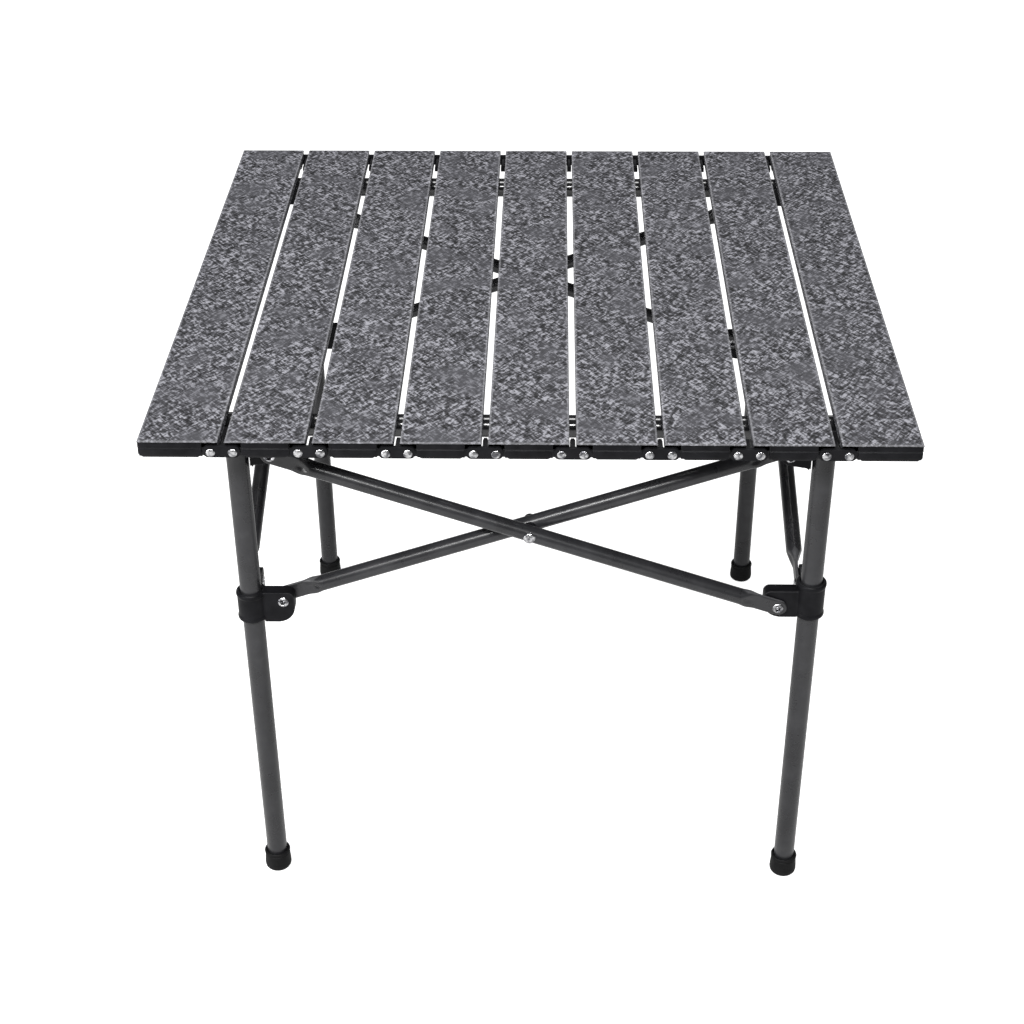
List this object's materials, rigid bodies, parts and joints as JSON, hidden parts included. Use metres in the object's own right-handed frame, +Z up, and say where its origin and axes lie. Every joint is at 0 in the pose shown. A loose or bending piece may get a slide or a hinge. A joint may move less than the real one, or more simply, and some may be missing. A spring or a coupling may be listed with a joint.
{
  "type": "folding side table",
  "caption": "Square camping side table with a roll-up top of channel slats on a four-legged folding scissor frame with sliding collars.",
  "frame": {"origin": "on the floor, under the middle of the open table", "axes": "+X across the slats, to the right of someone facing the front; +Y along the slats, to the back; +Z up"},
  "size_m": [0.53, 0.51, 0.435],
  "materials": {
    "slat": "mid grey wrinkle powder coat on aluminium channel",
    "tube": "charcoal satin powder coat",
    "rail": "glossy black paint",
    "plastic": "black moulded nylon",
    "foot_rubber": "black moulded rubber",
    "rivet": "bright steel rivet"
  },
  "bodies": {
    "leg_front_left": {"leg_front_left": "tube", "foot_front_left": "foot_rubber", "bracket_front_left": "plastic"},
    "leg_front_right": {"leg_front_right": "tube", "foot_front_right": "foot_rubber", "bracket_front_right": "plastic"},
    "leg_rear_left": {"leg_rear_left": "tube", "foot_rear_left": "foot_rubber", "bracket_rear_left": "plastic"},
    "leg_rear_right": {"leg_rear_right": "tube", "foot_rear_right": "foot_rubber", "bracket_rear_right": "plastic"},
    "collar_front_left": {"collar_front_left": "plastic"},
    "collar_front_right": {"collar_front_right": "plastic"},
    "collar_rear_left": {"collar_rear_left": "plastic"},
    "collar_rear_right": {"collar_rear_right": "plastic"},
    "arm_front_outer": {"arm_front_outer": "tube", "centre_rivet_front": "rivet"},
    "arm_front_inner": {"arm_front_inner": "tube"},
    "arm_left_inner": {"arm_left_inner": "tube", "centre_rivet_left": "rivet"},
    "arm_left_outer": {"arm_left_outer": "tube"},
    "arm_rear_inner": {"arm_rear_inner": "tube", "centre_rivet_rear": "rivet"},
    "arm_rear_outer": {"arm_rear_outer": "tube"},
    "arm_right_outer": {"arm_right_outer": "tube", "centre_rivet_right": "rivet"},
    "arm_right_inner": {"arm_right_inner": "tube"},
    "crossbar_front": {"crossbar_front": "rail"},
    "crossbar_rear": {"crossbar_rear": "rail"},
    "slat_1": {"slat_1": "slat", "hook_front_left": "plastic", "hook_rear_left": "plastic"},
    "slat_2": {"slat_2": "slat"},
    "slat_3": {"slat_3": "slat"},
    "slat_4": {"slat_4": "slat"},
    "slat_5": {"slat_5": "slat"},
    "slat_6": {"slat_6": "slat"},
    "slat_7": {"slat_7": "slat"},
    "slat_8": {"slat_8": "slat"},
    "slat_9": {"slat_9": "slat", "hook_front_right": "plastic", "hook_rear_right": "plastic"},
    "link_1": {"link_front_1": "plastic", "link_rear_1": "plastic"},
    "link_2": {"link_front_2": "plastic", "link_rear_2": "plastic"},
    "link_3": {"link_front_3": "plastic", "link_rear_3": "plastic"},
    "link_4": {"link_front_4": "plastic", "link_rear_4": "plastic"},
    "link_5": {"link_front_5": "plastic", "link_rear_5": "plastic"},
    "link_6": {"link_front_6": "plastic", "link_rear_6": "plastic"},
    "link_7": {"link_front_7": "plastic", "link_rear_7": "plastic"},
    "link_8": {"link_front_8": "plastic", "link_rear_8": "plastic"}
  },
  "joints": [
    {"name": "frame_fold", "type": "hinge", "parent": "leg_front_left", "child": "arm_front_outer", "pos_m": [-0.183, -0.2135, 0.3985], "axis": [0, 1, 0], "range_deg": [0, 49]},
    {"name": "front_cross", "type": "hinge", "parent": "arm_front_outer", "child": "arm_front_inner", "pos_m": [0, -0.207, 0.33425], "axis": [0, 1, 0], "range_deg": [-98, 0]},
    {"name": "front_right_top", "type": "hinge", "parent": "arm_front_inner", "child": "leg_front_right", "pos_m": [0.183, -0.2005, 0.3985], "axis": [0, 1, 0], "range_deg": [0, 49]},
    {"name": "front_left_collar", "type": "hinge", "parent": "arm_front_inner", "child": "collar_front_left", "pos_m": [-0.183, -0.2005, 0.27], "axis": [0, 1, 0], "range_deg": [0, 49]},
    {"name": "front_right_collar", "type": "hinge", "parent": "arm_front_outer", "child": "collar_front_right", "pos_m": [0.183, -0.2135, 0.27], "axis": [0, 1, 0], "range_deg": [-49, 0]},
    {"name": "left_front_top", "type": "hinge", "parent": "leg_front_left", "child": "arm_left_inner", "pos_m": [-0.2005, -0.183, 0.3985], "axis": [-1, 0, 0], "range_deg": [0, 49]},
    {"name": "left_cross", "type": "hinge", "parent": "arm_left_inner", "child": "arm_left_outer", "pos_m": [-0.207, 0, 0.33425], "axis": [-1, 0, 0], "range_deg": [-98, 0]},
    {"name": "left_rear_top", "type": "hinge", "parent": "arm_left_outer", "child": "leg_rear_left", "pos_m": [-0.2135, 0.183, 0.3985], "axis": [-1, 0, 0], "range_deg": [0, 49]},
    {"name": "left_rear_collar", "type": "hinge", "parent": "arm_left_inner", "child": "collar_rear_left", "pos_m": [-0.2005, 0.183, 0.27], "axis": [-1, 0, 0], "range_deg": [-49, 0]},
    {"name": "rear_left_top", "type": "hinge", "parent": "leg_rear_left", "child": "arm_rear_inner", "pos_m": [-0.183, 0.2005, 0.3985], "axis": [0, 1, 0], "range_deg": [0, 49]},
    {"name": "rear_cross", "type": "hinge", "parent": "arm_rear_inner", "child": "arm_rear_outer", "pos_m": [0, 0.207, 0.33425], "axis": [0, 1, 0], "range_deg": [-98, 0]},
    {"name": "rear_right_top", "type": "hinge", "parent": "arm_rear_outer", "child": "leg_rear_right", "pos_m": [0.183, 0.2135, 0.3985], "axis": [0, 1, 0], "range_deg": [0, 49]},
    {"name": "rear_right_collar", "type": "hinge", "parent": "arm_rear_inner", "child": "collar_rear_right", "pos_m": [0.183, 0.2005, 0.27], "axis": [0, 1, 0], "range_deg": [-49, 0]},
    {"name": "right_front_top", "type": "hinge", "parent": "leg_front_right", "child": "arm_right_outer", "pos_m": [0.2135, -0.183, 0.3985], "axis": [-1, 0, 0], "range_deg": [0, 49]},
    {"name": "right_cross", "type": "hinge", "parent": "arm_right_outer", "child": "arm_right_inner", "pos_m": [0.207, 0, 0.33425], "axis": [-1, 0, 0], "range_deg": [-98, 0]},
    {"name": "tabletop_lift", "type": "slide", "parent": "leg_front_left", "child": "slat_5", "axis": [0, 0, 1], "range_m": [0, 0.12]},
    {"name": "crossbar_front_lift", "type": "slide", "parent": "leg_front_left", "child": "crossbar_front", "axis": [0, 0, 1], "range_m": [0, 0.06]},
    {"name": "crossbar_rear_lift", "type": "slide", "parent": "leg_rear_left", "child": "crossbar_rear", "axis": [0, 0, 1], "range_m": [0, 0.06]},
    {"name": "tabletop_roll", "type": "hinge", "parent": "slat_5", "child": "slat_6", "pos_m": [0.0297, 0, 0.4262], "axis": [0, -1, 0], "range_deg": [0, 28]},
    {"name": "link_5_hinge", "type": "hinge", "parent": "slat_5", "child": "link_5", "pos_m": [0.0222, 0, 0.4262], "axis": [0, -1, 0], "range_deg": [0, 14]},
    {"name": "slat_6_7_hinge", "type": "hinge", "parent": "slat_6", "child": "slat_7", "pos_m": [0.0891, 0, 0.4262], "axis": [0, -1, 0], "range_deg": [0, 28]},
    {"name": "link_6_hinge", "type": "hinge", "parent": "slat_6", "child": "link_6", "pos_m": [0.0816, 0, 0.4262], "axis": [0, -1, 0], "range_deg": [0, 14]},
    {"name": "slat_7_8_hinge", "type": "hinge", "parent": "slat_7", "child": "slat_8", "pos_m": [0.1485, 0, 0.4262], "axis": [0, -1, 0], "range_deg": [0, 28]},
    {"name": "link_7_hinge", "type": "hinge", "parent": "slat_7", "child": "link_7", "pos_m": [0.141, 0, 0.4262], "axis": [0, -1, 0], "range_deg": [0, 14]},
    {"name": "slat_8_9_hinge", "type": "hinge", "parent": "slat_8", "child": "slat_9", "pos_m": [0.2079, 0, 0.4262], "axis": [0, -1, 0], "range_deg": [0, 28]},
    {"name": "link_8_hinge", "type": "hinge", "parent": "slat_8", "child": "link_8", "pos_m": [0.2004, 0, 0.4262], "axis": [0, -1, 0], "range_deg": [0, 14]},
    {"name": "slat_4_5_hinge", "type": "hinge", "parent": "slat_5", "child": "slat_4", "pos_m": [-0.0297, 0, 0.4262], "axis": [0, 1, 0], "range_deg": [0, 28]},
    {"name": "link_4_hinge", "type": "hinge", "parent": "slat_5", "child": "link_4", "pos_m": [-0.0222, 0, 0.4262], "axis": [0, 1, 0], "range_deg": [0, 14]},
    {"name": "slat_3_4_hinge", "type": "hinge", "parent": "slat_4", "child": "slat_3", "pos_m": [-0.0891, 0, 0.4262], "axis": [0, 1, 0], "range_deg": [0, 28]},
    {"name": "link_3_hinge", "type": "hinge", "parent": "slat_4", "child": "link_3", "pos_m": [-0.0816, 0, 0.4262], "axis": [0, 1, 0], "range_deg": [0, 14]},
    {"name": "slat_2_3_hinge", "type": "hinge", "parent": "slat_3", "child": "slat_2", "pos_m": [-0.1485, 0, 0.4262], "axis": [0, 1, 0], "range_deg": [0, 28]},
    {"name": "link_2_hinge", "type": "hinge", "parent": "slat_3", "child": "link_2", "pos_m": [-0.141, 0, 0.4262], "axis": [0, 1, 0], "range_deg": [0, 14]},
    {"name": "slat_1_2_hinge", "type": "hinge", "parent": "slat_2", "child": "slat_1", "pos_m": [-0.2079, 0, 0.4262], "axis": [0, 1, 0], "range_deg": [0, 28]},
    {"name": "link_1_hinge", "type": "hinge", "parent": "slat_2", "child": "link_1", "pos_m": [-0.2004, 0, 0.4262], "axis": [0, 1, 0], "range_deg": [0, 14]}
  ],
  "couplings": [
    {"joint": "front_cross", "follows": "frame_fold", "ratio": -2},
    {"joint": "front_right_top", "follows": "frame_fold", "ratio": 1},
    {"joint": "front_left_collar", "follows": "frame_fold", "ratio": 1},
    {"joint": "front_right_collar", "follows": "frame_fold", "ratio": -1},
    {"joint": "left_front_top", "follows": "frame_fold", "ratio": 1},
    {"joint": "left_cross", "follows": "frame_fold", "ratio": -2},
    {"joint": "left_rear_top", "follows": "frame_fold", "ratio": 1},
    {"joint": "left_rear_collar", "follows": "frame_fold", "ratio": -1},
    {"joint": "rear_left_top", "follows": "frame_fold", "ratio": 1},
    {"joint": "rear_cross", "follows": "frame_fold", "ratio": -2},
    {"joint": "rear_right_top", "follows": "frame_fold", "ratio": 1},
    {"joint": "rear_right_collar", "follows": "frame_fold", "ratio": -1},
    {"joint": "right_front_top", "follows": "frame_fold", "ratio": 1},
    {"joint": "right_cross", "follows": "frame_fold", "ratio": -2},
    {"joint": "crossbar_front_lift", "follows": "tabletop_lift", "ratio": 0.5},
    {"joint": "crossbar_rear_lift", "follows": "tabletop_lift", "ratio": 0.5},
    {"joint": "link_5_hinge", "follows": "tabletop_roll", "ratio": 0.5},
    {"joint": "slat_6_7_hinge", "follows": "tabletop_roll", "ratio": 1},
    {"joint": "link_6_hinge", "follows": "tabletop_roll", "ratio": 0.5},
    {"joint": "slat_7_8_hinge", "follows": "tabletop_roll", "ratio": 1},
    {"joint": "link_7_hinge", "follows": "tabletop_roll", "ratio": 0.5},
    {"joint": "slat_8_9_hinge", "follows": "tabletop_roll", "ratio": 1},
    {"joint": "link_8_hinge", "follows": "tabletop_roll", "ratio": 0.5},
    {"joint": "slat_4_5_hinge", "follows": "tabletop_roll", "ratio": 1},
    {"joint": "link_4_hinge", "follows": "tabletop_roll", "ratio": 0.5},
    {"joint": "slat_3_4_hinge", "follows": "tabletop_roll", "ratio": 1},
    {"joint": "link_3_hinge", "follows": "tabletop_roll", "ratio": 0.5},
    {"joint": "slat_2_3_hinge", "follows": "tabletop_roll", "ratio": 1},
    {"joint": "link_2_hinge", "follows": "tabletop_roll", "ratio": 0.5},
    {"joint": "slat_1_2_hinge", "follows": "tabletop_roll", "ratio": 1},
    {"joint": "link_1_hinge", "follows": "tabletop_roll", "ratio": 0.5}
  ]
}
